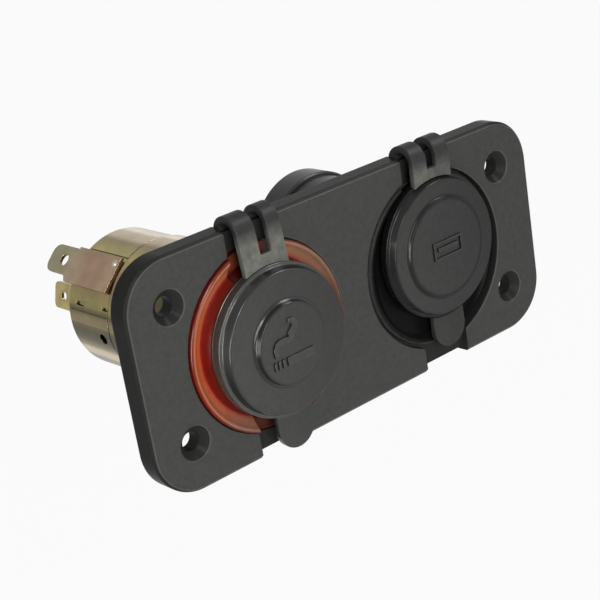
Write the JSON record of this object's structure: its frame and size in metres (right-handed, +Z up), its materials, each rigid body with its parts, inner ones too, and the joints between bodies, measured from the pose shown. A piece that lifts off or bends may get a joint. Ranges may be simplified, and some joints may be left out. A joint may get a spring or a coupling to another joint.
{
  "type": "car power socket",
  "caption": "Screw-on panel with a 12 V outlet and a charger socket side by side, each under a hinged rubber cap, with steel and plastic housings behind.",
  "frame": {"origin": "centre of the four screw holes, on the panel's rear mounting face", "axes": "+X to the right seen from the front, +Y out of the panel's rear face, into the vehicle's panel, +Z up"},
  "size_m": [0.12, 0.0725, 0.055],
  "materials": {
    "panel_plate": "satin black moulded plastic",
    "outlet_barrel": "nickel-plated steel",
    "light_ring": "translucent red plastic",
    "outlet_can": "yellow-passivated zinc on steel",
    "can_nut": "zinc-plated steel",
    "ground_blade": "tinned steel",
    "ground_rivet": "zinc-plated steel",
    "contact_seat": "phenolic resin",
    "centre_contact": "spring brass",
    "contact_bush": "phenolic resin",
    "contact_stud": "plated brass",
    "positive_blade": "plated brass",
    "stud_nut": "zinc-plated steel",
    "lamp_holder": "black plastic",
    "ring_lamp": "clear lamp",
    "power_cap": "matt black rubber",
    "power_cap_tether": "matt black rubber",
    "charger_body": "black moulded plastic",
    "charger_face": "black moulded plastic",
    "port_shells": "plated steel sheet",
    "port_tongues": "white plastic",
    "charger_board": "green laminate",
    "converter_coil": "ferrite and copper wire",
    "input_capacitor": "sleeved aluminium",
    "output_capacitor": "sleeved aluminium",
    "clamp_nut": "black moulded plastic",
    "charger_back": "black moulded plastic",
    "charger_positive_blade": "plated brass",
    "charger_negative_blade": "plated brass",
    "charger_cap": "matt black rubber",
    "charger_cap_tether": "matt black rubber"
  },
  "bodies": {
    "housing": {"panel_plate": "panel_plate", "outlet_barrel": "outlet_barrel", "light_ring": "light_ring", "outlet_can": "outlet_can", "can_nut": "can_nut", "ground_blade": "ground_blade", "ground_rivet": "ground_rivet", "contact_seat": "contact_seat", "centre_contact": "centre_contact", "contact_bush": "contact_bush", "contact_stud": "contact_stud", "positive_blade": "positive_blade", "stud_nut": "stud_nut", "lamp_holder": "lamp_holder", "ring_lamp": "ring_lamp", "power_cap_tether": "power_cap_tether", "charger_body": "charger_body", "charger_face": "charger_face", "port_shells": "port_shells", "port_tongues": "port_tongues", "charger_board": "charger_board", "converter_coil": "converter_coil", "input_capacitor": "input_capacitor", "output_capacitor": "output_capacitor", "clamp_nut": "clamp_nut", "charger_back": "charger_back", "charger_positive_blade": "charger_positive_blade", "charger_negative_blade": "charger_negative_blade", "charger_cap_tether": "charger_cap_tether"},
    "outlet_cap": {"power_cap": "power_cap"},
    "charger_socket_cap": {"charger_cap": "charger_cap"}
  },
  "joints": [
    {"name": "power_cap_hinge", "type": "hinge", "parent": "housing", "child": "outlet_cap", "pos_m": [-0.0257, -0.00405, 0.0247], "axis": [-1, 0, 0], "range_deg": [0, 165], "deforming": ["power_cap_tether"]},
    {"name": "charger_cap_hinge", "type": "hinge", "parent": "housing", "child": "charger_socket_cap", "pos_m": [0.0257, -0.00405, 0.0247], "axis": [-1, 0, 0], "range_deg": [0, 165], "deforming": ["charger_cap_tether"]}
  ]
}
